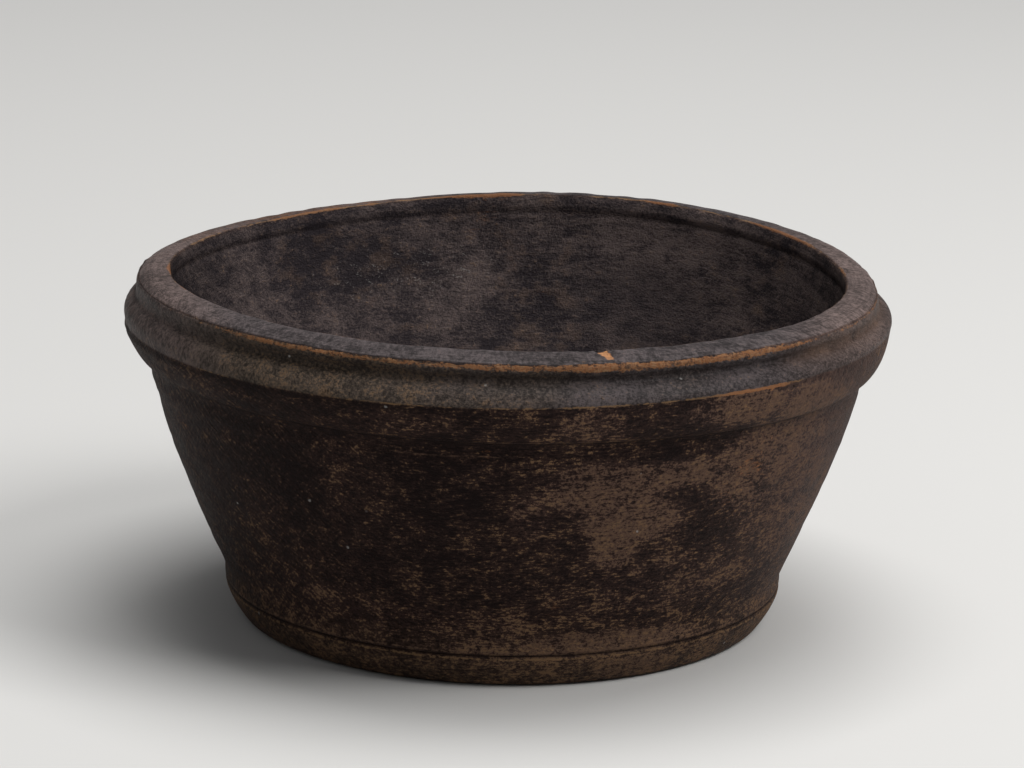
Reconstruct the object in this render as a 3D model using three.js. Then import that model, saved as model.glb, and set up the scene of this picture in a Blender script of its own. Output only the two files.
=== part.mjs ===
// A carved wooden bowl: one block of dark hardwood, turned and hollowed by hand.
//
// The whole bowl is a single piece of wood, so it is a single mesh. From the top down it has a
// flat lip with a worn inner edge, a shallow neck under the lip, a rounded collar that ends in a
// crisp arris, a step where the collar meets the wall, a body that tapers almost straight, a
// plinth with one cut line round it, and a foot whose underside is slightly hollowed.
//
// Units are millimetres, +Z is up, and the origin is the centre of the plane the foot stands on.

import * as THREE from "three";

// ---- Driving dimensions ---------------------------------------------------------------------

const lip = {
  innerRadius: 123.2,   // the worn inner edge
  innerHeight: 128.2,
  crownRadius: 128.6,   // the top is very slightly domed
  crownHeight: 127.7,
  outerRadius: 135.2,   // the outer edge, a little lower than the inner one
  outerHeight: 126.0,
  sideRadius: 135.9,    // the outermost point of the lip
  sideHeight: 124.4,
  underRadius: 135.2,   // where the side turns in towards the neck
  underHeight: 122.4,
};

const neck = { radius: 132.9, topHeight: 120.8, footHeight: 119.4 };

const collar = {
  radius: 140,          // the widest part of the bowl
  shoulderRadius: 139.0,
  shoulderHeight: 117.4,
  arrisHeight: 112.0,   // the crisp edge at that widest part
  undersideRadius: 138.6,
  undersideHeight: 104,
  stepRadius: 134.6,    // where the collar's underside ends
  stepHeight: 98.9,
};

const wall = {
  topRadius: 130.7,     // the root of the step
  topHeight: 97.2,
  bendRadius: 125.4,    // pulls the wall outwards into its slight curve
  bendHeight: 69.1,
  bottomRadius: 103.9,
  bottomHeight: 21.8,
};

const plinth = { radius: 102.5, height: 18.4, lineHeight: 12.9, lineDepth: 0.9, lineWidth: 1.6 };

const foot = {
  radius: 96.3,         // the edge of the underside
  bendRadius: 101.2,    // the rounding between the plinth and that edge
  bendHeight: 7.2,
  edgeRounding: 0.8,
  ringRadius: 72,       // the inner edge of the ring that stands on the table
  recessRadius: 66,     // the hollowed part of the underside
  recessDepth: 2.5,
};

const hollow = {
  mouthRadius: 122.5,   // just under the lip's inner edge
  mouthHeight: 126.8,
  floorHeight: 18,      // the centre of the floor
  fullness: 2.5,        // 2 would be an ellipse; more is steeper sides and a flatter floor
  steps: 16,
};

// The block moved as it dried: the rim rises and falls in two and in three waves round the bowl.
const saddle = { rise: 1.46, peak: THREE.MathUtils.degToRad(59.6) };
const trefoil = { rise: 0.75, peak: THREE.MathUtils.degToRad(73.6) };

// The arris was cut by eye, and climbs from one side of the collar to the other.
const arrisClimb = { slope: 0.016, halfWidth: 5, insideRadius: 125, outsideRadius: 132 };

const segments = 64;    // round the bowl
const curveSteps = 6;   // along each curved stretch of the outline

// ---- Outline --------------------------------------------------------------------------------

/** The points of a curve that leaves `start`, leans towards `bend` and arrives at `end`. */
function bow(start, bend, end, steps = curveSteps) {
  const curve = new THREE.QuadraticBezierCurve(
    new THREE.Vector2(...start),
    new THREE.Vector2(...bend),
    new THREE.Vector2(...end),
  );
  return curve.getPoints(steps);
}

/** Straight stretches, as a list of corner points. */
function corners(...points) {
  return points.map((point) => new THREE.Vector2(...point));
}

/** The underside, from its centre out to the edge that stands on the table. */
function underside() {
  return corners(
    [0, foot.recessDepth],
    [foot.recessRadius, foot.recessDepth],
    [foot.ringRadius, 0],
    [foot.radius - foot.edgeRounding, 0],
  );
}

/** The foot and the plinth with the line cut round it, going up. */
function footAndPlinth() {
  const halfLine = plinth.lineWidth / 2;
  const lowerLip = [plinth.radius, plinth.lineHeight - halfLine];
  return [
    ...bow([foot.radius, foot.edgeRounding], [foot.bendRadius, foot.bendHeight], lowerLip),
    ...corners(
      [plinth.radius - plinth.lineDepth, plinth.lineHeight],
      [plinth.radius, plinth.lineHeight + halfLine],
      [plinth.radius, plinth.height],
    ),
  ];
}

/** The tapering wall, up to the root of the step under the collar. */
function bodyWall() {
  return bow(
    [wall.bottomRadius, wall.bottomHeight],
    [wall.bendRadius, wall.bendHeight],
    [wall.topRadius, wall.topHeight],
  );
}

/** The collar: its underside out to the arris, then over its rounded shoulder to the neck. */
function collarRing() {
  const step = [collar.stepRadius, collar.stepHeight];
  const undersideBend = [collar.undersideRadius, collar.undersideHeight];
  const arris = [collar.radius, collar.arrisHeight];
  const shoulder = [collar.shoulderRadius, collar.shoulderHeight];
  const neckFoot = [neck.radius, neck.footHeight];
  return [
    ...bow(step, undersideBend, arris),
    ...bow(arris, shoulder, neckFoot).slice(1),
  ];
}

/** The lip, from the neck over its outer side and its top to the worn inner edge. */
function lipRing() {
  return corners(
    [neck.radius, neck.topHeight],
    [lip.underRadius, lip.underHeight],
    [lip.sideRadius, lip.sideHeight],
    [lip.outerRadius, lip.outerHeight],
    [lip.crownRadius, lip.crownHeight],
    [lip.innerRadius, lip.innerHeight],
  );
}

/** The hollow: a superellipse from just under the lip's inner edge down to the floor's centre. */
function hollowWall() {
  const depth = hollow.mouthHeight - hollow.floorHeight;
  const power = 2 / hollow.fullness;
  const points = [];
  for (let step = 0; step < hollow.steps; step += 1) {
    const angle = (step / hollow.steps) * (Math.PI / 2);
    const radius = hollow.mouthRadius * Math.cos(angle) ** power;
    const height = hollow.mouthHeight - depth * Math.sin(angle) ** power;
    points.push(new THREE.Vector2(radius, height));
  }
  points.push(new THREE.Vector2(0, hollow.floorHeight));
  return points;
}

// ---- Body -----------------------------------------------------------------------------------

/** Turns the outline about +Z, then adds what drying and the carver's eye did to the round. */
function turnedBowl() {
  const outline = [
    ...underside(),
    ...footAndPlinth(),
    ...bodyWall(),
    ...collarRing(),
    ...lipRing(),
    ...hollowWall(),
  ];
  const geometry = new THREE.LatheGeometry(outline, segments);
  geometry.rotateX(Math.PI / 2);
  const position = geometry.attributes.position;
  for (let index = 0; index < position.count; index += 1) {
    const x = position.getX(index);
    const y = position.getY(index);
    const z = position.getZ(index);
    position.setZ(index, z + dryingWarp(x, y, z) + arrisRise(x, y, z));
  }
  geometry.computeVertexNormals();
  return geometry;
}

/** The rim's rise. It fades to nothing at the foot, so the bowl still stands flat, and on the axis. */
function dryingWarp(x, y, z) {
  const angle = Math.atan2(y, x);
  const waves =
    saddle.rise * Math.cos(2 * (angle - saddle.peak)) +
    trefoil.rise * Math.cos(3 * (angle - trefoil.peak));
  const upTheWall = z / lip.outerHeight;
  const outFromTheAxis = Math.min(1, Math.hypot(x, y) / foot.recessRadius);
  return waves * upTheWall * outFromTheAxis;
}

/** The arris's climb towards +X, felt only on the outside and only near the arris. */
function arrisRise(x, y, z) {
  const nearArris = Math.exp(-(((z - collar.arrisHeight) / arrisClimb.halfWidth) ** 2));
  const outside = THREE.MathUtils.smoothstep(
    Math.hypot(x, y),
    arrisClimb.insideRadius,
    arrisClimb.outsideRadius,
  );
  return arrisClimb.slope * x * nearArris * outside;
}

const darkHardwood = new THREE.MeshStandardMaterial({
  color: 0x2c221c,
  roughness: 0.62,
  metalness: 0,
});

const bowl = new THREE.Mesh(turnedBowl(), darkHardwood);
bowl.name = "bowl";

const part = new THREE.Group();
part.add(bowl);

export default part;
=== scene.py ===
# %% [markdown]
# # A carved wooden bowl
# One block of dark hardwood, turned on its axis, hollowed and finished by hand, then used for
# many years. The real bowl is a single piece of wood, so here it is a single closed mesh. The
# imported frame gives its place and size; this lesson makes its fine surface and its patina.

# %% Load the frame
from math import cos, pi, radians, sin

import bpy
import numpy as np
from mathutils import Matrix, Vector


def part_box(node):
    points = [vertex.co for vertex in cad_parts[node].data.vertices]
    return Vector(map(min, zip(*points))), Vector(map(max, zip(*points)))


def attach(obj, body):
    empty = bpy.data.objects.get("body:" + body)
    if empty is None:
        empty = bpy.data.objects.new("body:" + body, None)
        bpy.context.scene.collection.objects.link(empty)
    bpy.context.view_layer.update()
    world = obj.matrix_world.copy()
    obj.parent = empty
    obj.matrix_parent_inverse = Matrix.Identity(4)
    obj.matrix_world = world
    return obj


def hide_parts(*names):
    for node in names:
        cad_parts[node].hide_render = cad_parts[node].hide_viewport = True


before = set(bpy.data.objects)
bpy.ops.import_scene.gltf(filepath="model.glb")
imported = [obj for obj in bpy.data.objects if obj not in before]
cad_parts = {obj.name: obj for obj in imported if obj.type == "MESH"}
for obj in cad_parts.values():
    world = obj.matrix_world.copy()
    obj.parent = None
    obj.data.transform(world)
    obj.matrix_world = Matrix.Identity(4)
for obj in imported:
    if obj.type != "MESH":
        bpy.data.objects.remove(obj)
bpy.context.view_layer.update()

MM = 0.001
lowest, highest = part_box("bowl")
print("CAD bowl, millimetres:", [round(side / MM, 1) for side in highest - lowest])

# %% [markdown]
# ## The camera
# A bowl is usually pictured with a long lens from a little above the rim, so that its ellipses
# stay true and both the wall and the hollow show. The camera aims at a point near the middle of
# the frame's box and is turned a hair about its own axis, as a hand-held camera is. A Track To
# constraint could aim it, but it would keep the camera level, so the three axes are set here.

# %% Camera
bowl_height = highest.z - lowest.z
aim = Vector((2.2 * MM, 0, 0.649 * bowl_height))
camera_distance = 1.650
camera_elevation = radians(14.59)
camera_roll = radians(1.15)
focal_length = 158.2
film_width = 36

away = Vector((0, -cos(camera_elevation), sin(camera_elevation)))
right = Vector((1, 0, 0))
up = away.cross(right)
tilted_right = right * cos(camera_roll) + up * sin(camera_roll)
tilted_up = up * cos(camera_roll) - right * sin(camera_roll)

lens = bpy.data.cameras.new("long_lens")
lens.sensor_width = film_width
lens.lens = focal_length
camera = bpy.data.objects.new("camera", lens)
axes = Matrix((tilted_right, tilted_up, away)).transposed()
camera.matrix_world = Matrix.LocRotScale(aim + away * camera_distance, axes.to_quaternion(), None)
bpy.context.scene.collection.objects.link(camera)
bpy.context.scene.camera = camera
print("camera at", [round(place, 3) for place in camera.matrix_world.translation])

# %% [markdown]
# ## The outline
# A turner works from an outline held against the spinning block. These are the frame's own
# driving values, in millimetres, as (radius, height) corners. Between the corners run straight
# cuts and bows. A Screw modifier could turn them into a bowl. Arrays do it here instead, because
# the next steps move every point by its place along the outline. Each stretch says how finely it
# is to be divided, because a worn edge needs many more rings than a plain wall.

# %% Corners of the outline
lip = {"under": (135.2, 122.4), "side": (135.9, 124.4), "outer": (135.2, 126.0),
       "crown": (128.6, 127.7), "inner": (123.2, 128.2)}
neck = {"top": (132.9, 120.8), "foot": (132.9, 119.4)}
collar = {"arris": (140.0, 112.0), "shoulder": (139.0, 117.4),
          "underside": (138.6, 104.0), "step": (134.6, 98.9)}
wall = {"top": (130.7, 97.2), "bend": (125.4, 69.1), "bottom": (103.9, 21.8)}
plinth = {"top": (102.5, 18.4), "line_top": (102.5, 13.7), "line_root": (101.6, 12.9),
          "line_foot": (102.5, 12.1)}
foot = {"bend": (101.2, 7.2), "edge": (96.3, 0.8), "standing": (95.5, 0.0),
        "ring": (72.0, 0.0), "recess": (66.0, 2.5), "centre": (0.0, 2.5)}
hollow = {"mouth_radius": 122.5, "mouth_height": 126.8, "floor_height": 18.0, "fullness": 2.5}
print("outline:", round(2 * collar["arris"][0]), "mm wide,", lip["inner"][1], "mm high at the lip")


def bow(start, bend, end, steps=40):
    """A curve that leaves start, leans towards bend and arrives at end."""
    t = np.linspace(0, 1, steps)[:, None]
    start, bend, end = np.array(start), np.array(bend), np.array(end)
    return start * (1 - t) ** 2 + bend * 2 * t * (1 - t) + end * t ** 2


def cuts(*points):
    """Straight cuts from point to point."""
    return np.array(points)


def hollow_wall(steps=160):
    """A superellipse from under the lip's inner edge down to the middle of the floor."""
    angle = np.linspace(0, pi / 2, steps)
    power = 2 / hollow["fullness"]
    depth = hollow["mouth_height"] - hollow["floor_height"]
    radius = hollow["mouth_radius"] * np.cos(angle).clip(0) ** power
    height = hollow["mouth_height"] - depth * np.sin(angle) ** power
    return np.stack([radius, height], axis=1)


# %% Stretches from the middle of the underside, up the outside and down into the hollow
CRISP, WORN = 0.25, 0.9
# name: (points, ring spacing, rounding by wear), both in millimetres
stretches = {
    "underside": (cuts(foot["centre"], foot["recess"], foot["ring"], foot["standing"]), 5.0, WORN),
    "foot": (bow(foot["edge"], foot["bend"], plinth["line_foot"]), 1.2, WORN),
    "line": (cuts(plinth["line_foot"], plinth["line_root"], plinth["line_top"]), 0.4, CRISP),
    "plinth": (cuts(plinth["line_top"], plinth["top"]), 0.9, 0.7),
    "wall": (bow(wall["bottom"], wall["bend"], wall["top"]), 1.9, WORN),
    "step": (cuts(wall["top"], collar["step"]), 0.6, 0.5),
    "collar_underside": (bow(collar["step"], collar["underside"], collar["arris"]), 1.2, 0.5),
    "collar_face": (bow(collar["arris"], collar["shoulder"], neck["foot"]), 0.8, 0.5),
    "neck": (cuts(neck["foot"], neck["top"]), 0.6, WORN),
    "lip_side": (cuts(neck["top"], lip["under"], lip["side"], lip["outer"]), 0.5, 0.8),
    "lip_top": (cuts(lip["outer"], lip["crown"], lip["inner"]), 0.9, 0.8),
    "hollow": (hollow_wall(), 3.0, 0.6),
}


def blur(values, reach, step):
    """Softens a list of values along the outline, over about reach millimetres each way."""
    offsets = np.arange(-int(4 * reach / step) - 1, int(4 * reach / step) + 2)
    weights = np.exp(-0.5 * (offsets * step / reach) ** 2)
    weights /= weights.sum()
    padded = np.concatenate([
        2 * values[0] - values[len(offsets) // 2:0:-1],
        values,
        2 * values[-1] - values[-2:-len(offsets) // 2 - 1:-1],
    ])
    return np.convolve(padded, weights, mode="valid")


# %% Follow the outline in steps of a tenth of a millimetre, and round its corners by wear
FINE = 0.1
corner_list = np.concatenate([points for points, _, _ in stretches.values()])
stretch_of_corner = np.repeat(
    np.arange(len(stretches)), [len(points) for points, _, _ in stretches.values()])
leg = np.hypot(*np.diff(corner_list, axis=0).T)
distance = np.concatenate([[0], np.cumsum(leg)])
along_fine = np.arange(0, distance[-1], FINE)
radius_fine = np.interp(along_fine, distance, corner_list[:, 0])
height_fine = np.interp(along_fine, distance, corner_list[:, 1])
leg_number = np.searchsorted(distance, along_fine, side="right").clip(1, len(corner_list) - 1)
stretch_fine = stretch_of_corner[leg_number]

rounding = np.array([rounding for _, _, rounding in stretches.values()])[stretch_fine]
crispness = blur(((WORN - rounding) / (WORN - CRISP)).clip(0, 1), 0.8, FINE)
radius_fine, height_fine = (
    crispness * blur(values, CRISP, FINE) + (1 - crispness) * blur(values, WORN, FINE)
    for values in (radius_fine, height_fine))
print(len(along_fine), "places along the outline")


def along_at(point):
    """How far along the outline the nearest place to a (radius, height) point lies."""
    return along_fine[np.argmin(np.hypot(radius_fine - point[0], height_fine - point[1]))]


line_at = along_at(plinth["line_root"])
step_at = along_at(wall["top"])
arris_at = along_at(collar["arris"])
neck_at = along_at(neck["foot"])
lip_edge_at = along_at(lip["outer"])
inner_edge_at = along_at(lip["inner"])
ledge_at = inner_edge_at + 7.0
print("outline length", round(distance[-1], 1), "mm; arris at", round(arris_at, 1))

# %% Choose the rings: close together on edges, further apart on plain stretches
ring_spacing = np.array([spacing for _, spacing, _ in stretches.values()])[stretch_fine]
near_ledge = np.abs(along_fine - ledge_at + 2) < 6
ring_spacing[near_ledge] = 0.7
ring_spacing = blur(ring_spacing, 2.0, FINE)
POINT_BUDGET = 96500
ring_number = np.concatenate([[0], np.cumsum(FINE / ring_spacing[:-1])])
rings = int(ring_number[-1])
along = np.interp(np.arange(1, rings), ring_number, along_fine)
ring_radius = np.interp(along, along_fine, radius_fine)
ring_height = np.interp(along, along_fine, height_fine)
segments = POINT_BUDGET // len(along)
angle = np.arange(segments) / segments * 2 * pi
print(len(along), "rings of", segments, "points")

# %% [markdown]
# ## The hand in the surface
# No hand-made bowl is a true solid of revolution. Drying bends the rim into a saddle, the carver
# wanders a little from the round, scraping leaves shallow flats, and use knocks chips off the
# edges. All of that is real shape, so it moves the mesh itself. It could be sculpted, but then
# no number of it could be changed later. Seeded random values on a loose lattice, eased from one
# to the next, give a wander that closes up round the bowl and is the same every time.

# %% Smooth seeded wander over the surface
ALONG = along[:, None]
ANGLE = angle[None, :]


def ease(t):
    """Leaves and arrives gently: 0 at 0 and 1 at 1."""
    t = np.clip(t, 0, 1)
    return t * t * (3 - 2 * t)


def wander(seed, around, spacing, twist=0.0):
    """Random rises from -1 to 1, `around` of them round the bowl, `spacing` mm up the outline.

    A twist makes them lean: it is how many rises they shift round the bowl for each one up.
    """
    lattice = np.random.default_rng(seed).uniform(-1, 1, (int(along[-1] / spacing) + 3, around))
    u = (ANGLE / (2 * pi) * around + twist * ALONG / spacing) % around
    v = ALONG / spacing + 0 * ANGLE
    column, row = np.floor(u).astype(int), np.floor(v).astype(int)
    a, b = ease(u - column), ease(v - row)
    left, right_side = column % around, (column + 1) % around
    low_row = lattice[row, left] * (1 - a) + lattice[row, right_side] * a
    high_row = lattice[row + 1, left] * (1 - a) + lattice[row + 1, right_side] * a
    return low_row * (1 - b) + high_row * b


def between(start, end, soft):
    """1 on the rings between two places along the outline, fading over `soft` millimetres."""
    return ease((ALONG - start) / soft + 0.5) * ease((end - ALONG) / soft + 0.5)


def near_angle(middle, half_width):
    """1 at an angle in degrees, 0 further than half_width degrees from it."""
    off = (np.degrees(ANGLE) - middle + 180) % 360 - 180
    return ease(1 - np.abs(off) / half_width)


def bump_at(place, reach):
    """1 on the ring at a place along the outline, fading like a bell over `reach` mm."""
    return np.exp(-((ALONG - place) / reach) ** 2)


# %% How far each point stands in or out of the true outline, in millimetres
outside = between(line_at, lip_edge_at, 3)
on_wall = between(line_at + 4, step_at - 1, 6)
in_hollow = between(inner_edge_at + 4, along[-1] + 50, 6)
on_lip = between(neck_at + 2, inner_edge_at + 2, 3)

# (seed, rises round the bowl, millimetres up the outline, twist, height in millimetres, where)
unevenness = [
    (1, 9, 38, 0.0, 0.28, outside + in_hollow),
    (2, 28, 13, 0.0, 0.12, outside + in_hollow),
    (3, 64, 5.2, 0.0, 0.10, on_wall),
    (4, 90, 6.5, 1.4, 0.09, on_wall),
    (5, 7, 5.0, 0.0, 0.16, in_hollow),
    (6, 48, 9.0, -0.6, 0.10, in_hollow),
    (7, 46, 40, 0.0, 0.16, on_lip),
    (8, 150, 30, 0.0, 0.20, on_lip),
]
push = np.zeros((len(along), segments))
for seed, around, spacing, twist, rise, where in unevenness:
    push += rise * wander(seed, around, spacing, twist) * where
print("unevenness: up to", round(np.abs(push).max(), 2), "mm")

# %% Edges knocked, rubbed and cut by the tool
# the groove under the lip's inner edge, where the hollowing tool began
push -= (0.40 + 0.35 * wander(9, 11, 60)) * bump_at(ledge_at, 1.1)
push += 0.15 * bump_at(ledge_at - 2.6, 1.8)

# the lip's outer edge is nibbled by knocks, and the arris is rubbed down here and there
nibble = np.clip(wander(10, 170, 50) + 0.6 * wander(11, 60, 50), 0, 2)
push -= 0.55 * nibble * bump_at(lip_edge_at - 0.6, 1.3)
arris_rub = np.clip(wander(12, 120, 50) + 0.4 * wander(13, 34, 50), 0, 2)
push -= 0.22 * arris_rub * bump_at(arris_at, 1.2)
print("edges: up to", round(np.abs(push).max(), 2), "mm")

# %% The collar stands fuller at its two ends, where the arris is rubbed round and the grain is open
left_end = near_angle(190, 52)
right_end = near_angle(-6, 42)
push += 0.9 * left_end * between(arris_at + 2.5, neck_at - 2, 4)
push -= 0.8 * left_end * bump_at(arris_at, 2.2)
push += 0.7 * right_end * between(arris_at + 1, neck_at - 3, 4)
open_grain = near_angle(4, 24) + near_angle(184, 22)
collar_grain = np.clip(wander(14, 260, 2.4) - 0.15, 0, 1) * between(step_at + 2, neck_at - 1, 4)
wall_grain = np.clip(wander(16, 90, 3.4), 0, 1) * on_wall
push -= open_grain * (0.75 * collar_grain + 0.50 * wall_grain)
print("end grain: up to", round((open_grain * collar_grain).max() * 0.75, 2), "mm deep")

# %% A second, lighter cut under the step, and the cove between the collar and the lip
push -= 0.30 * bump_at(step_at - 4.5, 0.9)
push += 0.22 * bump_at(step_at - 7.0, 1.2)

# the cove is shallow, and nearly filled at the two ends, where the lip's edge is round too
push -= 1.3 * (left_end + right_end) * bump_at(lip_edge_at + 0.3, 2.2)
cove_foot, cove_top = neck_at - 4.0, lip_edge_at - 0.6
cove_depth = 0.9
up_the_cove = ((along - cove_foot) / (cove_top - cove_foot)).clip(0, 1)
foot_radius, top_radius = np.interp([cove_foot, cove_top], along_fine, radius_fine)
cove_radius = foot_radius + (top_radius - foot_radius) * up_the_cove
cove_radius -= cove_depth * np.sin(pi * up_the_cove)
in_cove = (up_the_cove > 0) & (up_the_cove < 1)
cove_share = 0.45 + 0.55 * (left_end + right_end)
fill = cove_share * (in_cove * (cove_radius - ring_radius))[:, None]
print("cove: filled by up to", round(fill.max(), 2), "mm")

# %% Chips: (angle, place along the outline, size round, size along, depth), degrees then mm
chips = [
    (-74.5, inner_edge_at - 3.6, 2.6, 5.4, 0.9),
    (-77.6, inner_edge_at + 0.2, 3.0, 1.3, 0.7),
    (-71.9, inner_edge_at - 0.2, 1.4, 1.0, 0.4),
    (-46.5, lip_edge_at - 1.2, 2.2, 1.8, 0.7),
    (-118.0, lip_edge_at + 0.4, 4.5, 1.5, 0.45),
    (-97.0, lip_edge_at - 0.5, 2.4, 1.4, 0.4),
    (-66.0, lip_edge_at + 0.3, 5.0, 1.6, 0.4),
    (173.5, arris_at + 1.0, 3.2, 1.8, 0.8),
    (-38.0, arris_at, 4.0, 1.5, 0.5),
    (96.0, lip_edge_at, 3.6, 1.9, 0.6),
    (38.0, arris_at, 3.0, 1.6, 0.6),
    (128.0, arris_at - 0.5, 5.0, 1.8, 0.5),
]
CHIP_SLANT = 0.25
WALL_RADIUS = 130.0


def chip_reach(chip_angle, chip_place, size_round, size_along):
    """How far each point lies from a chip's middle: 1 at the chip's edge. Chips lean a little."""
    off = (ANGLE - radians(chip_angle) + pi) % (2 * pi) - pi
    off = off * WALL_RADIUS + CHIP_SLANT * (ALONG - chip_place)
    return np.hypot(off / size_round, (ALONG - chip_place) / size_along)


for chip_angle, chip_place, size_round, size_along, depth in chips:
    reach = chip_reach(chip_angle, chip_place, size_round, size_along)
    push -= depth * ease((1.15 + 0.20 * wander(15, 400, 1.5) - reach) / 0.35)
print(len(chips), "chips")

# %% [markdown]
# ## From rings to a solid
# Each ring becomes a circle of points. The push moves a point square to the outline, the drying
# lifts the rim in two and in three waves, and the arris climbs a little to one side because it
# was cut by eye. The mesh is filled from arrays, because 96 000 points are slow to add one by
# one. The points keep their place from before the drying too, as attributes: the finish
# needs to know where along the outline a point lies to wear the right edges.

# %% Place every point
tangent = np.stack([np.gradient(ring_radius, along), np.gradient(ring_height, along)])
tangent /= np.hypot(*tangent)
standing = ease((ring_height - 0.3) / 3)[:, None] + between(0, along_at(foot["recess"]), 6)
push = push * standing.clip(0, 1)
radius = ring_radius[:, None] + fill + push * tangent[1][:, None]
height = ring_height[:, None] - push * tangent[0][:, None]
widest, tallest = 139.95, 130.3
radius = np.minimum(radius, widest)
print("the surface moves in by up to", round(-push.min(), 2), "mm and out by", round(push.max(), 2))

# %% Let the rim rise and fall as it dried, and the arris climb
saddle_rise, saddle_peak = 1.46, radians(59.6)
trefoil_rise, trefoil_peak = 0.75, radians(73.6)
arris_climb, climb_width = 0.016, 5.0
climb_starts, climb_full = 125, 132
lift = saddle_rise * np.cos(2 * (ANGLE - saddle_peak))
lift = lift + trefoil_rise * np.cos(3 * (ANGLE - trefoil_peak))
lift = lift * height / lip["outer"][1] * np.minimum(1, radius / foot["recess"][0])
print("drying moves the rim by", round(lift.min(), 2), "to", round(lift.max(), 2), "mm")
climb = (
    arris_climb * radius * np.cos(ANGLE)
    * np.exp(-((height - collar["arris"][1]) / climb_width) ** 2)
    * ease((radius - climb_starts) / (climb_full - climb_starts))
)
lift += climb
print("the arris climbs by", round(climb.max() - climb.min(), 2), "mm from left to right")
across, back = radius * np.cos(ANGLE), radius * np.sin(ANGLE)
points = np.stack([across, back, np.minimum(height + lift, tallest)], axis=2)
turned = np.stack([across, back, height], axis=2)
centre_points = np.array([[0, 0, foot["centre"][1]], [0, 0, hollow["floor_height"]]])
print("points stand", round(points[..., 2].max(), 1), "mm high at most")

# %% Join the points into one closed mesh
ring_count = len(along)
point_number = np.arange(ring_count * segments).reshape(ring_count, segments)
next_number = np.roll(point_number, -1, axis=1)
quads = np.stack(
    [point_number[:-1], next_number[:-1], next_number[1:], point_number[1:]],
    axis=2).reshape(-1, 4)
under_centre, floor_centre = ring_count * segments, ring_count * segments + 1
under_fan = [(under_centre, after, before)
             for before, after in zip(point_number[0].tolist(), next_number[0].tolist())]
floor_fan = [(floor_centre, before, after)
             for before, after in zip(point_number[-1].tolist(), next_number[-1].tolist())]

all_points = np.concatenate([points.reshape(-1, 3), centre_points]) * MM
bowl_mesh = bpy.data.meshes.new("carved_bowl")
bowl_mesh.from_pydata(all_points.tolist(), [], quads.tolist() + under_fan + floor_fan)
bowl_mesh.shade_smooth()
bowl = bpy.data.objects.new("carved_bowl", bowl_mesh)
bpy.context.scene.collection.objects.link(bowl)
print("bowl mesh:", len(bowl_mesh.vertices), "points,", len(bowl_mesh.polygons), "faces")


# %% Keep each point's place before drying, its place along the outline, and its direction
def remember(name, kind, values):
    """Stores one value or vector for each point of the bowl."""
    field = "vector" if kind == "FLOAT_VECTOR" else "value"
    attribute = bowl_mesh.attributes.new(name, kind, "POINT")
    attribute.data.foreach_set(field, np.ascontiguousarray(values, np.float32).ravel())


remember("turned", "FLOAT_VECTOR",
         np.concatenate([turned.reshape(-1, 3), centre_points]) * MM)
remember("along", "FLOAT",
         np.concatenate([np.repeat(along, segments), [0, along_fine[-1]]]) * MM)
every_point = np.ones((len(along), segments))
round_and_up = np.stack([
    WALL_RADIUS * np.cos(ANGLE) * every_point,
    WALL_RADIUS * np.sin(ANGLE) * every_point,
    ALONG * every_point], axis=2)
remember("round_and_up", "FLOAT_VECTOR",
         np.concatenate([round_and_up.reshape(-1, 3), [[0, 0, 0], [0, 0, along_fine[-1]]]]) * MM)
print("turned, along and round_and_up remembered for", len(all_points), "points")

# %% [markdown]
# ## Shader arithmetic
# A finish is a sum: this much streak, that much wear. Written as node after node it can't be
# read, so one small class wraps a socket and lets Python's operators add the Math nodes. Every
# other node comes from its `of` method, which sets the node's settings first and then fills its
# sockets with values or links.


# %% A socket with arithmetic
class Field:
    """One output of a node: a value that may change over the surface."""

    tree = None

    def __init__(self, output):
        self.output = output

    @classmethod
    def of(cls, kind, settings, sockets, output=0):
        """Adds a node, sets its settings, fills its sockets, and returns one of its outputs."""
        node = cls.tree.nodes.new("ShaderNode" + kind)
        for name, setting in settings.items():
            setattr(node, name, setting)
        for name, value in sockets.items():
            if isinstance(value, Field):
                cls.tree.links.new(value.output, node.inputs[name])
            else:
                node.inputs[name].default_value = value
        return cls(node.outputs[output]) if node.outputs else None

    def math(self, operation, first, second=0.0):
        """Adds a Math node."""
        return Field.of("Math", {"operation": operation}, {0: first, 1: second})

    def __add__(self, other):
        return self.math("ADD", self, other)

    def __radd__(self, other):
        return self.math("ADD", other, self)

    def __sub__(self, other):
        return self.math("SUBTRACT", self, other)

    def __rsub__(self, other):
        return self.math("SUBTRACT", other, self)

    def __mul__(self, other):
        return self.math("MULTIPLY", self, other)

    def __rmul__(self, other):
        return self.math("MULTIPLY", other, self)

    def __truediv__(self, other):
        return self.math("DIVIDE", self, other)

    def __abs__(self):
        return self.math("ABSOLUTE", self)

    def at_most(self, other):
        return self.math("MINIMUM", self, other)

    def at_least(self, other):
        return self.math("MAXIMUM", self, other)

    def clamped(self, low=0.0, high=1.0):
        """Cuts off what lies below low or above high."""
        return self.at_least(low).at_most(high)

    def eased(self, low, high):
        """0 below low, 1 above high, and a gentle rise between them."""
        return Field.of("MapRange", {"interpolation_type": "SMOOTHSTEP"},
                        {"Value": self, "From Min": low, "From Max": high})


def stretched(vector, x, y, z):
    """A place scaled along each axis: about how many grains of a noise lie along a metre."""
    return Field.of("VectorMath", {"operation": "MULTIPLY"}, {0: vector, 1: (x, y, z)})


def noise(vector, scale=1.0, detail=3.0, roughness=0.55, distortion=0.0):
    """Cloudy values round 0.5."""
    return Field.of("TexNoise", {}, {
        "Vector": vector, "Scale": scale, "Detail": detail,
        "Roughness": roughness, "Distortion": distortion})


def painted(under, over, mask):
    """One colour over another, as far as the mask says."""
    return Field.of("Mix", {"data_type": "RGBA"}, {0: mask, 6: under, 7: over}, output=2)


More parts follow.
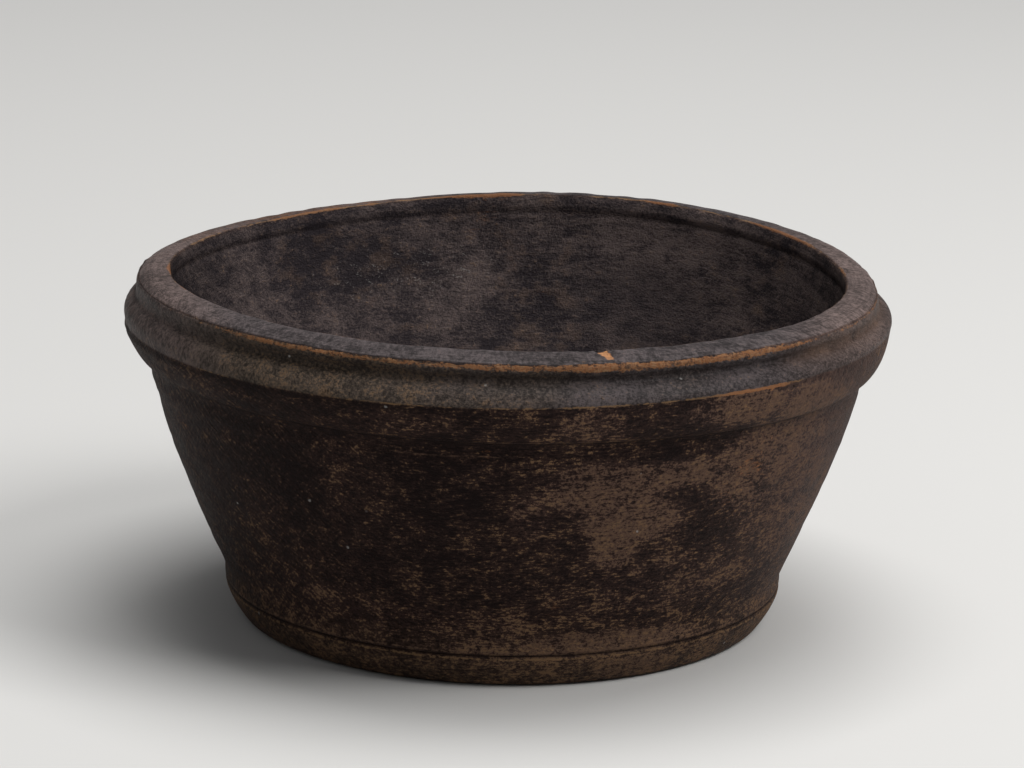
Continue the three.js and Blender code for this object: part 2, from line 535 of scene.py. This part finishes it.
def shaded(colour, factor):
    """A colour made lighter or darker by a factor that may change over the surface."""
    three = colour if isinstance(colour, Field) else colour[:3]
    return Field.of("VectorMath", {"operation": "SCALE"}, {0: three, "Scale": factor})


# %% [markdown]
# ## The patina
# The wood has gone nearly black with smoke, oil and handling. Where hands and cloths rub it most
# the black has thinned to khaki, and on the sharp edges it has gone, so bare ochre and copper
# coloured wood shows. A knife or a scraper ran round the wall on the front and slantwise across
# it at the left and right, where the fibres end and the wood is hard to cut along the round.
# The colours could be painted by hand on the mesh, but they would be as coarse as its faces, so
# noises make them, placed by what each point remembers.

# %% Start the material and read the places that the mesh remembers
patina = bpy.data.materials.new("rubbed_black_patina")
patina.use_nodes = True
patina.node_tree.nodes.clear()
Field.tree = patina.node_tree

place = Field.of("Attribute", {"attribute_name": "turned"}, {}, output="Vector")
round_up = Field.of("Attribute", {"attribute_name": "round_and_up"}, {}, output="Vector")
distance_along = Field.of("Attribute", {"attribute_name": "along"}, {}, output="Fac")
x = Field.of("SeparateXYZ", {}, {0: place}, output="X")
y = Field.of("SeparateXYZ", {}, {0: place}, output="Y")
z = Field.of("SeparateXYZ", {}, {0: place}, output="Z")


def bell(middle, reach):
    """1 at a place along the outline, in millimetres, fading over `reach` each way."""
    off = (distance_along - middle * MM) / (reach * MM)
    return Field.of("Math", {"operation": "EXPONENT"}, {0: off * off * -1.0})


def zone(start, end, soft):
    """1 between two places along the outline, in millimetres."""
    rise = distance_along.eased((start - soft) * MM, (start + soft) * MM)
    fall = distance_along.eased((end - soft) * MM, (end + soft) * MM)
    return rise * (1 - fall)


NOISE_MIDDLE, NOISE_SPREAD = 0.5, 9.0


def lively(vector, detail=3.0, roughness=0.6):
    """A noise centred on 0, mostly between -1 and 1, to be added up with others."""
    return (noise(vector, detail=detail, roughness=roughness) - NOISE_MIDDLE) * NOISE_SPREAD


def so_far(step):
    """Tells how many nodes the patina has after a step."""
    print(f"{step}: {len(patina.node_tree.nodes)} nodes so far")


so_far("places")


# %% Sides of the bowl, told by a fade between two places in millimetres
def right_of(start, full):
    """0 up to start, 1 from full on, going right along X."""
    return x.eased(start * MM, full * MM)


def left_of(full, end):
    """1 up to full, 0 from end on, going right along X."""
    return 1 - right_of(full, end)


def further_than(start, full):
    """0 up to start, 1 from full on, going back along Y."""
    return y.eased(start * MM, full * MM)


def nearer_than(full, end):
    """1 up to full, 0 from end on, going back along Y."""
    return 1 - further_than(full, end)


def higher_than(start, full):
    """0 up to start, 1 from full on, going up."""
    return z.eased(start * MM, full * MM)


def lower_than(full, end):
    """1 up to full, 0 from end on, going up."""
    return 1 - higher_than(full, end)


def oval(middle_x, middle_z, half_width, half_height):
    """0 in the middle of an oval seen from the front, 1 on its edge, and more outside it."""
    across = (x - middle_x * MM) / (half_width * MM)
    upward = (z - middle_z * MM) / (half_height * MM)
    return across * across + upward * upward


so_far("sides")

# %% [markdown]
# ## Strokes, streaks and clouds
# Each noise below stands for one cause. The fibres of the block lie along X. Scraper strokes run
# round the bowl. Slanting strokes cross each other at the two ends: they need the distance round
# the wall, which an arctangent gives, measured from the left end or from the right end so that
# the place where it jumps lies out of the strokes' way on the far side.

# %% Strokes, streaks and clouds that the colours and the relief share
fibres = lively(stretched(place, 70, 520, 520), detail=4)
clouds = lively(stretched(place, 24, 24, 30), detail=3)
small_clouds = lively(stretched(place, 110, 110, 150), detail=4, roughness=0.65)
grit = lively(stretched(place, 1000, 1000, 1200), detail=3, roughness=0.75)
grain = lively(stretched(place, 480, 560, 720), detail=4, roughness=0.8)
stipple = lively(stretched(round_up, 760, 760, 800), detail=4, roughness=0.75)
round_strokes = lively(stretched(round_up, 230, 230, 1150), detail=4, roughness=0.75)
so_far("noises")

# %% The distance round the wall, measured from the left end and from the right end
turn_from_left = Field.of("Math", {"operation": "ARCTAN2"}, {0: y, 1: 0 - x})
turn_from_right = Field.of("Math", {"operation": "ARCTAN2"}, {0: y, 1: x})
round_from_left = turn_from_left * (WALL_RADIUS * MM)
round_from_right = turn_from_right * (WALL_RADIUS * MM)


def hatched(distance_round, slant, length, width):
    """Strokes at a slant in degrees, about length by width millimetres each."""
    level, rising = cos(radians(slant)), sin(radians(slant))
    lengthwise = distance_round * level + distance_along * rising
    crosswise = distance_along * level - distance_round * rising
    flow = Field.of("CombineXYZ", {}, {
        0: lengthwise / (length * MM), 1: crosswise / (width * MM), 2: slant * 1.0})
    return lively(flow, detail=3, roughness=0.7)


left_side = left_of(-95, -12)
right_side = right_of(92, 125)
left_hatch = 0.8 * hatched(round_from_left, 38, 5.0, 1.0)
left_hatch = left_hatch + 0.55 * hatched(round_from_left, -42, 6.0, 1.1)
right_hatch = 0.7 * hatched(round_from_right, 62, 5.0, 0.9)
right_hatch = right_hatch + 0.5 * hatched(round_from_right, -35, 5.0, 1.1)
front_share = (1 - left_side) * (1 - right_side)
strokes = round_strokes * front_share + left_hatch * left_side + right_hatch * right_side
so_far("strokes")

# %% Zones of the bowl
inside_zone = distance_along.eased((inner_edge_at - 0.5) * MM, (inner_edge_at + 2.5) * MM)
outside_zone = 1 - inside_zone
lip_zone = zone(lip_edge_at + 0.9, inner_edge_at, 0.7)
collar_zone = zone(arris_at + 0.2, lip_edge_at, 0.6)
wall_zone = zone(8, arris_at, 1.0)
bottom_zone = 1 - distance_along.eased(90 * MM, 97 * MM)
front_side = nearer_than(-20, 0)
at_the_ends = abs(x).eased(88 * MM, 124 * MM)
so_far("zones")

# %% Colours, as the linear amounts of red, green and blue that the wood gives back
NEAR_BLACK = (0.0105, 0.0062, 0.0058, 1)
DARK_BROWN = (0.0430, 0.0240, 0.0200, 1)
RUBBED_BROWN = (0.0720, 0.0450, 0.0310, 1)
KHAKI = (0.1400, 0.0840, 0.0580, 1)
OCHRE = (0.1950, 0.1160, 0.0600, 1)
COPPER = (0.2900, 0.1250, 0.0540, 1)
PALE_OCHRE = (0.3000, 0.1800, 0.0960, 1)
SLATE = (0.0600, 0.0490, 0.0490, 1)
OLIVE_GREY = (0.0640, 0.0480, 0.0370, 1)
MAUVE_BROWN = (0.0900, 0.0660, 0.0600, 1)
WARM_BROWN = (0.0900, 0.0540, 0.0440, 1)
INNER_GREY = (0.1050, 0.0800, 0.0740, 1)
INNER_DARK = (0.0210, 0.0170, 0.0190, 1)
FRESH_WOOD = (0.6200, 0.2900, 0.1250, 1)
WHITE_SPECK = (0.4200, 0.4000, 0.3800, 1)


def dimmed(colour, factor):
    """A plain colour made lighter or darker by a plain factor."""
    return tuple(part * factor for part in colour[:3]) + (1,)


print("black gives back", NEAR_BLACK[:3], "and fresh wood", FRESH_WOOD[:3])


# %% [markdown]
# ## Where hands have rubbed
# The black is thinnest where the bowl is held and wiped. One number, `thinness`, adds up the
# strokes, the clouds and the handled patches, and the colours follow from it: black, brown,
# khaki. Ochre flecks come where single fibres stand out and have lost their skin. The handled
# patches are plain ovals, because the noise added to them breaks up their borders anyway.

# %% How thin the black has been rubbed: handled places, low places, single strokes
# (x, z, half width, half height, strength) of the patches rubbed by handling, in millimetres
rubbed_places = [
    (36, 79, 18, 9, 1.0),
    (54, 83, 20, 5, 1.0),
    (44, 67, 15, 8, 0.9),
    (38, 55, 8, 7, 0.7),
    (86, 79, 13, 12, 0.9),
    (98, 90, 14, 9, 0.7),
    (101, 62, 15, 22, 0.5),
    (9, 70, 6, 8, 0.6),
    (36, 17, 25, 4, 0.8),
    (47, 6, 12, 4, 0.6),
    (80, 107, 16, 5, 0.8),
    (108, 103, 12, 6, 0.8),
    (30, 105, 12, 5, 0.45),
    (-30, 105, 14, 4, 0.35),
    (60, 40, 22, 10, 0.35),
    (-62, 24, 26, 9, 0.35),
    (-20, 22, 26, 8, 0.35),
]
handled = lively(stretched(place, 16, 16, 26), detail=2).eased(0.7, 2.0) * (1 - front_side)
for patch_x, patch_z, half_width, half_height, strength in rubbed_places:
    patch = (1.6 - oval(patch_x, patch_z, half_width, half_height) * 0.8).clamped()
    handled = handled.at_least(patch * front_side * strength)
so_far("rubbed places")

# %% The strokes, the handling, the bottom's wear and painted light near the floor add up to a thinness
# Lighter and more flecked towards the foot: partly wear, partly painted light against the floor's
# shade
low_on_wall = lower_than(10, 85)
on_foot = lower_than(6, 26)
texture = 0.70 * strokes + 0.50 * small_clouds + 0.40 * clouds + 0.55 * grit + 0.55 * grain
thinness = texture + 1.9 * handled + 0.35 * low_on_wall + 0.75 * on_foot + 3.0 * x - 0.15
brown_share = thinness.eased(-1.5, 1.9)
khaki_share = thinness.eased(1.15, 1.75)
flecks = 0.85 * strokes + 0.50 * grit + 0.90 * grain + 0.45 * small_clouds + 0.25 * clouds
fleck_share = (flecks + 0.35 * low_on_wall + 0.35 * on_foot).eased(0.95, 1.7)
gap_share = (0 - flecks).eased(0.2, 1.3)
so_far("thinness")

# %% The wall, from black through brown to khaki and ochre
colour = painted(NEAR_BLACK, DARK_BROWN, brown_share)
hatch_light = (0.30 + 0.50 * strokes).clamped()
colour = painted(colour, dimmed(WARM_BROWN, 0.80), at_the_ends * hatch_light)
warm_right = right_of(70, 112) * (0.62 + 0.18 * grain + 0.15 * small_clouds)
warm_right = warm_right.clamped()
colour = painted(colour, WARM_BROWN, warm_right)
# The foot painted a lighter brown: partly wear, partly painted light against the floor's shade
colour = painted(colour, RUBBED_BROWN, on_foot * (0.72 + 0.25 * grain).clamped())
khaki_cover = (0.60 + 0.14 * grit + 0.18 * grain + 0.07 * small_clouds).clamped()
colour = painted(colour, KHAKI, khaki_share * khaki_cover)
fleck_cover = (0.50 + 0.15 * khaki_share) * (1 - 0.5 * warm_right) * (1 - 0.35 * left_side)
colour = painted(colour, OCHRE, fleck_share * fleck_cover)
colour = painted(colour, NEAR_BLACK, gap_share * 0.65 * (1 - 0.6 * at_the_ends))
so_far("wall")

# %% [markdown]
# ## The collar and the lip
# The collar's face was smoothed and waxed more than the wall. It is olive at the front left,
# slate in the middle and brown at both ends, all in a fine stipple. The lip's top is slate too,
# rubbed along the round, and paler at the ends, partly where the grain stands on end and partly
# as a painted sheen. Each gets a dark and a light colour mixed by its own grain, so that no place
# on it is one flat colour.

# %% The collar's face
upright_strokes = lively(stretched(round_up, 1200, 1200, 620), detail=3, roughness=0.7)
face_grain = 0.30 * upright_strokes + 0.45 * small_clouds + 0.30 * clouds + 0.80 * stipple
face_grain = face_grain + 0.4 * grit + 0.6 * strokes * at_the_ends
face_light = face_grain.eased(-1.4, 1.6)
olive_face = painted(dimmed(OLIVE_GREY, 0.48), dimmed(OLIVE_GREY, 2.15), face_light)
slate_face = painted(dimmed(SLATE, 0.46), dimmed(SLATE, 1.85), face_light)
brown_face = painted(dimmed(MAUVE_BROWN, 0.45), dimmed(MAUVE_BROWN, 1.65), face_light)
slate_share = (x * 14.0 + 0.35 * clouds).eased(-0.9, 0.9)
face_colour = painted(olive_face, slate_face, slate_share)
face_colour = painted(face_colour, brown_face, at_the_ends)
front_left = right_of(-110, -85) * left_of(-45, 30)
face_flecks = 0.8 * stipple + 0.6 * grit + 0.6 * small_clouds + 0.9 * front_left
face_colour = painted(face_colour, OCHRE, face_flecks.eased(1.2, 1.9) * 0.55)
pale_stipple = (0.9 * grit + 0.5 * stipple + 0.4 * small_clouds).eased(1.5, 2.3)
face_colour = painted(face_colour, MAUVE_BROWN, pale_stipple * 0.6)
colour = painted(colour, face_colour, collar_zone)
khaki_cove = right_of(88, 110) * bell(neck_at + 1.0, 5.0)
colour = painted(colour, KHAKI, khaki_cove * (0.55 + 0.15 * small_clouds).clamped())
pitted = (small_clouds * 0.9 + 0.5 * upright_strokes + 0.3 * grit).eased(1.2, 1.8)
colour = painted(colour, NEAR_BLACK, pitted * bell(arris_at + 3.0, 3.2) * 0.85)
so_far("collar")

# %% The lip's top
rim_streaks = lively(stretched(round_up, 60, 60, 1500), detail=4, roughness=0.65)
lip_stipple = lively(stretched(round_up, 640, 640, 380), detail=4, roughness=0.75)
lip_grain = 0.35 * rim_streaks + 0.35 * small_clouds + 0.30 * clouds + 0.85 * lip_stipple
lip_grain = lip_grain + 0.45 * strokes * at_the_ends
lip_light = lip_grain.eased(-1.4, 1.6)
lip_colour = painted(dimmed(SLATE, 0.46), dimmed(SLATE, 2.15), lip_light)
lip_rubbed = (0.8 * lip_stipple + 0.5 * small_clouds).eased(1.0, 2.0)
lip_colour = painted(lip_colour, KHAKI, lip_rubbed * 0.5)
# Paler at both ends: partly the end grain, partly a painted sheen
end_lip_colour_and_sheen = painted(dimmed(MAUVE_BROWN, 0.75), dimmed(MAUVE_BROWN, 2.50), lip_light)
lip_colour = painted(lip_colour, end_lip_colour_and_sheen, at_the_ends)
colour = painted(colour, lip_colour, lip_zone)
so_far("lip")

# %% [markdown]
# ## The hollow
# Inside, the wood is smoky grey brown, scraped along the round, scorched darker in places and
# scratched with pale lines where food was scraped out. The wall on the +Y side is painted lighter
# than the one on the -Y side, and the hollow is painted darker at its left and towards its floor:
# this is painted light and shade, because the soft lamps alone leave the hollow too dark and too
# even.

# %% The hollow
inner_strokes = lively(stretched(round_up, 85, 85, 560), detail=5, roughness=0.7)
inner_hatch = hatched(round_from_left, 30, 9.0, 1.8)
inner_left = left_of(-80, 30)
inner_texture = inner_strokes * (1 - 0.70 * inner_left) + inner_hatch * 0.45 * inner_left
inner_texture = 0.60 * inner_texture + 0.50 * small_clouds + 0.55 * clouds
inner_texture = inner_texture + 0.50 * grit + 0.35 * grain
behind = further_than(-30, 90)
# Painted light: the hollow's far (+Y) wall is painted lighter, most of all towards the right
hollow_painted_light = 0.60 + 1.25 * behind + 0.7 * right_of(-20, 100) * behind
# Painted shade: less grey at the left makes the hollow's left wall darker
inner_grey_share = (inner_texture - 0.65 * inner_left).eased(-1.6, 1.9)
inner_colour = painted(INNER_DARK, INNER_GREY, inner_grey_share)
inner_brown = (0.8 * small_clouds - 0.9 * clouds + 0.4 * inner_texture).eased(0.5, 1.8)
inner_colour = painted(inner_colour, RUBBED_BROWN, inner_brown * 0.3)
inner_flecks = 0.7 * grit + 0.6 * grain + 0.4 * inner_strokes + 0.4 * small_clouds
inner_colour = painted(inner_colour, dimmed(OCHRE, 0.8), inner_flecks.eased(1.2, 2.0) * 0.45)
so_far("hollow's wood")

# %% Scorched and scraped places in the hollow, and the painted light and shade on its walls
scorched = (1.3 - oval(52, 88, 30, 18)).clamped()
inner_colour = painted(inner_colour, INNER_DARK, scorched * behind * 0.5)
# Painted shade: the hollow is darker towards its floor, then the painted light scales its colour
hollow_painted_light = hollow_painted_light * (0.80 + 0.20 * higher_than(60, 110))
inner_colour = shaded(inner_colour, hollow_painted_light)
scraped = bell(ledge_at + 22, 14) * right_of(-100, -60) * left_of(-20, 10) * behind
pale_scratches = (0.8 * grit + 0.8 * inner_hatch + 1.3 * scraped).eased(2.3, 2.9)
inner_colour = painted(inner_colour, dimmed(WHITE_SPECK, 0.7), pale_scratches * 0.6)
colour = painted(colour, inner_colour, inside_zone)
so_far("hollow")

# %% [markdown]
# ## Worn edges
# Wear has no sharp border. Each edge gets a bell along the outline, lifted and lowered by noise
# so that the bare wood comes and goes, and the copper band is widest where the lip is gripped.
# The Pointiness of a surface could find the edges, but it would find every dent as well.

# %% The lip's outer edge, and the painted shade under it
edge_break = lively(stretched(round_up, 260, 260, 800), detail=4, roughness=0.75)
edge_patch = lively(stretched(round_up, 24, 24, 24), detail=2)
# Painted shade: near-black in the cove under the lip's overhang, weaker to the right, none at the
# ends
painted_shade_under_lip = zone(neck_at + 0.6, lip_edge_at - 2.3, 1.2) * (1 - at_the_ends)
colour = painted(colour, NEAR_BLACK, painted_shade_under_lip * (0.50 - 0.28 * right_of(20, 90)))
gripped = right_of(-40, 20)
lip_wear = bell(lip_edge_at - 0.9, 1.9) * 2.6 - 1.70 + 0.45 * edge_break + 0.45 * grain
lip_wear = lip_wear + 0.30 * edge_patch
lip_wear = lip_wear + 0.50 * gripped - 1.1 * left_of(-120, -85) - 1.2 * right_of(90, 120)
lip_wear = lip_wear.eased(0.0, 0.8)
edge_colour = painted(COPPER, PALE_OCHRE, (0.7 * grain + 0.6 * grit).eased(-0.2, 1.6))
edge_dirt = (0.6 * small_clouds - 0.8 * grain - 0.4 * grit).eased(0.1, 1.3)
edge_colour = painted(edge_colour, RUBBED_BROWN, edge_dirt * 0.9)
colour = painted(colour, edge_colour, lip_wear * 0.85)
so_far("lip's outer edge")

# %% The lip's inner edge, and its top at the far left
inner_wear = bell(inner_edge_at + 0.1, 1.0) * 2.4 - 2.0 + 0.50 * edge_break + 0.95 * edge_patch
inner_wear = (inner_wear + 0.35 * behind).eased(0.0, 1.0)
inner_edge_colour = painted(PALE_OCHRE, COPPER, edge_patch.eased(-0.2, 0.9))
colour = painted(colour, inner_edge_colour, inner_wear * 0.7)
far_left_lip = lip_zone * further_than(30, 70) * left_of(-60, -20)
far_left_wear = (0.9 * rim_streaks + 0.5 * edge_break + 0.5 * edge_patch).eased(-0.4, 1.2)
colour = painted(colour, dimmed(COPPER, 0.8), far_left_lip * far_left_wear * 0.7)
so_far("lip's inner edge")

# %% The arris, orange where it is gripped at the right
arris_wear = bell(arris_at + 0.1, 0.75) * 2.4 - 1.9 + 0.55 * edge_break + 0.25 * edge_patch
orange_end = right_of(66, 80) * left_of(94, 102)
arris_wear = arris_wear + 2.5 * x + 0.7 * orange_end - 2.2 * right_of(96, 112)
arris_wear = arris_wear - 0.5 * left_of(-100, -50) + 0.25 * grain
arris_colour = painted(OCHRE, COPPER, orange_end * 0.9)
colour = painted(colour, arris_colour, arris_wear.eased(0.0, 0.8) * 0.85)
so_far("arris")

# %% The two edges of the line cut round the plinth
line_wear = bell(line_at - 1.6, 0.9) * 2.5 - 1.9 + 0.70 * grain + 0.45 * edge_break
colour = painted(colour, OCHRE, line_wear.eased(0.0, 0.8) * 0.7)
line_top_wear = bell(line_at + 1.6, 0.8) * 2.5 - 2.0 + 0.70 * grain + 0.45 * edge_break
colour = painted(colour, KHAKI, line_top_wear.eased(0.0, 0.8) * 0.7)
so_far("cut line")

# %% [markdown]
# ## Scratch, painted shade, chip and grit
# These are the marks that happened once: a long scratch, a fresh chip that shows raw wood, and
# a few pale grains of grit. Painted shade darkens the grooves and corners among them. Each is laid
# over the finish last, as it came last to the bowl.

# %% One long scratch under the step
scratch_height, scratch_waver = 92.5, 0.6
scratch_rise = scratch_height * MM + (scratch_waver * MM) * clouds
scratch = 1 - (abs(z - scratch_rise) / MM).eased(0.15, 0.45)
scratch = scratch * right_of(-50, -35) * left_of(-4, 8) * front_side
scratch = scratch * (0.25 + 0.25 * edge_break + 0.15 * grain).clamped()
colour = painted(colour, KHAKI, scratch * wall_zone)
so_far("scratch")

# %% Painted shade in the grooves and corners, and the standing ring
# Painted shade: near-black in the plinth's cut line, at the step, under the arris at the left, and
# in the groove under the lip's inner edge
line_shade_strength = (0.90 + 0.30 * edge_break + 0.25 * grain).clamped()
colour = painted(colour, NEAR_BLACK, bell(line_at, 0.75) * line_shade_strength)
colour = painted(colour, NEAR_BLACK, bell(step_at + 0.6, 1.3) * 0.6)
colour = painted(colour, NEAR_BLACK, bell(arris_at - 1.5, 0.9) * 0.5 * left_of(-40, 0))
colour = painted(colour, NEAR_BLACK, bell(ledge_at, 0.8) * 0.35)
bottom_colour = painted(DARK_BROWN, KHAKI, (fibres + 0.6 * clouds).eased(-1.5, 1.5))
colour = painted(colour, bottom_colour, bottom_zone)
so_far("corners and underside")

# %% The fresh chip: a slanting facet from the lip's inner edge, with raw wood in it
CHIP_ANGLE = radians(-74.7)
# how far its sides lie from its middle, and how much they lean, in millimetres
left_reach, left_lean = 2.5, 0.26
right_reach, right_lean = 2.0, 0.06
outer_reach, inner_reach = 7.6, 1.6
across_chip = (y * cos(CHIP_ANGLE) - x * sin(CHIP_ANGLE)) / MM
out_from_edge = (x * cos(CHIP_ANGLE) + y * sin(CHIP_ANGLE)) / MM - lip["inner"][0]
ragged = 0.25 * edge_break
chip_left = (across_chip + left_reach - left_lean * out_from_edge + ragged).eased(0.0, 0.5)
chip_right = (right_reach + right_lean * out_from_edge - across_chip + ragged).eased(0.0, 0.5)
chip_outer = (outer_reach - out_from_edge + ragged).eased(0.0, 0.6)
chip_inner = (out_from_edge + inner_reach).eased(0.0, 0.3)
fresh_chip = chip_left * chip_right * (chip_outer * chip_inner) * higher_than(120, 124)
colour = painted(colour, FRESH_WOOD, fresh_chip * (0.80 + 0.15 * fibres).clamped())

# %% Grit caught in the wood: pale specks, few and small
cells_per_metre = 150.0
cell = {"Vector": place, "Scale": cells_per_metre}
speck_shape = Field.of("TexVoronoi", {"feature": "F1"}, cell)
speck_lot = Field.of("TexVoronoi", {"feature": "F1"}, cell, output="Color")
speck_pick = Field.of("SeparateColor", {}, {0: speck_lot}, output=0)
speck_limit = 0.955 - 0.09 * collar_zone
speck = 1 - (speck_shape + 0.02 * grit).eased(0.05, 0.10)
white_specks = speck * (speck_pick - speck_limit).eased(0.0, 0.02)
colour = painted(colour, WHITE_SPECK, white_specks * 0.6)
so_far("specks")

# %% [markdown]
# ## Gloss and relief
# Old wax makes the lip and the collar a little glossier than the wall, and rubbed wood is duller
# than the black skin. The relief follows the same strokes as the colour, because both come from
# the same tool, and the open pores are deepest at the ends. It is bump, because it is finer than
# the mesh: whatever is deep enough to show on the outline has already moved the mesh.

# %% Gloss
roughness = 0.58 + 0.10 * khaki_share * outside_zone + 0.035 * small_clouds + 0.03 * grit
roughness = roughness - 0.06 * lip_zone - 0.05 * collar_zone
roughness = (roughness + 0.10 * lip_wear + 0.1 * fresh_chip).clamped(0.3, 0.9)
wax = (0.16 * lip_zone + 0.10 * collar_zone) * (1 - lip_wear)
so_far("gloss")

# %% Relief, in millimetres
pores = lively(stretched(place, 420, 650, 650), detail=3).eased(0.7, 1.5)
relief = 0.030 * fibres + 0.085 * strokes + 0.075 * grit + 0.080 * grain + 0.050 * small_clouds
relief = relief + 0.070 * strokes * at_the_ends
relief = relief - (0.10 + 0.28 * at_the_ends) * pores * outside_zone
relief = relief + inside_zone * (0.030 * inner_texture - 0.060 * strokes)
relief = relief + collar_zone * (0.060 * stipple) + lip_zone * (0.080 * lip_stipple)
relief = relief - 0.05 * khaki_share * outside_zone - 0.25 * fresh_chip
bumped = Field.of("Bump", {}, {"Strength": 1.0, "Distance": 1.0 * MM, "Height": relief})
so_far("relief")

# %% Put the material together
skin = Field.of("BsdfPrincipled", {}, {
    "Base Color": colour, "Roughness": roughness, "Normal": bumped, "Coat Weight": wax,
    "IOR": 1.45, "Specular IOR Level": 0.06, "Coat Roughness": 0.38, "Coat IOR": 1.45})
Field.of("OutputMaterial", {}, {"Surface": skin})
bowl_mesh.materials.append(patina)
print("patina nodes:", len(patina.node_tree.nodes))

# %% [markdown]
# ## The bowl and the frame
# The bowl has no moving part, so it rides on the frame's one body. It stands for the frame's
# plain bowl, which stays behind as the shape that other things touch.

# %% Tie the bowl to the frame
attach(bowl, "root")
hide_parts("bowl")
print(bowl.name, "rides on root and wears", bowl_mesh.materials[0].name)

# %% [markdown]
# ## A plain place to stand
# A wide pale floor, one large soft lamp high on the right, a larger one overhead, and an even
# pale sky. Soft light shows the relief by its slow changes, without hard shadows. A sky alone
# would be softer still, but it would leave the wood flat.

# %% Floor
floor_mesh = bpy.data.meshes.new("floor")
FLOOR_SIDE = 12.0
half = FLOOR_SIDE / 2
floor_mesh.from_pydata(
    [(-half, -half, 0), (half, -half, 0), (half, half, 0), (-half, half, 0)], [], [(0, 1, 2, 3)])
floor = bpy.data.objects.new("floor", floor_mesh)
bpy.context.scene.collection.objects.link(floor)
floor_paint = bpy.data.materials.new("pale_floor")
floor_paint.use_nodes = True
floor_bsdf = floor_paint.node_tree.nodes["Principled BSDF"]
floor_bsdf.inputs["Base Color"].default_value = (0.66, 0.65, 0.63, 1)
floor_bsdf.inputs["Roughness"].default_value = 0.8
floor_mesh.materials.append(floor_paint)
print("floor:", FLOOR_SIDE, "m each way")


# %% Lamps and sky
def soft_lamp(name, position, side, watts):
    """A square lamp that faces the bowl."""
    light = bpy.data.lights.new(name, "AREA")
    light.shape = "SQUARE"
    light.size = side
    light.energy = watts
    lamp = bpy.data.objects.new(name, light)
    lamp.location = position
    lamp.rotation_euler = (aim - Vector(position)).to_track_quat("-Z", "Y").to_euler()
    bpy.context.scene.collection.objects.link(lamp)


soft_lamp("key", (1.6, -0.8, 1.9), side=1.2, watts=36)
soft_lamp("overhead", (0.3, 0.3, 3.0), side=2.2, watts=72)

sky = bpy.data.worlds.new("pale_sky")
sky.use_nodes = True
sky.node_tree.nodes["Background"].inputs["Color"].default_value = (0.95, 0.97, 1.0, 1)
sky.node_tree.nodes["Background"].inputs["Strength"].default_value = 0.18
bpy.context.scene.world = sky
bpy.context.scene.view_settings.view_transform = "Standard"
print(len(bpy.data.lights), "lamps and a pale sky")
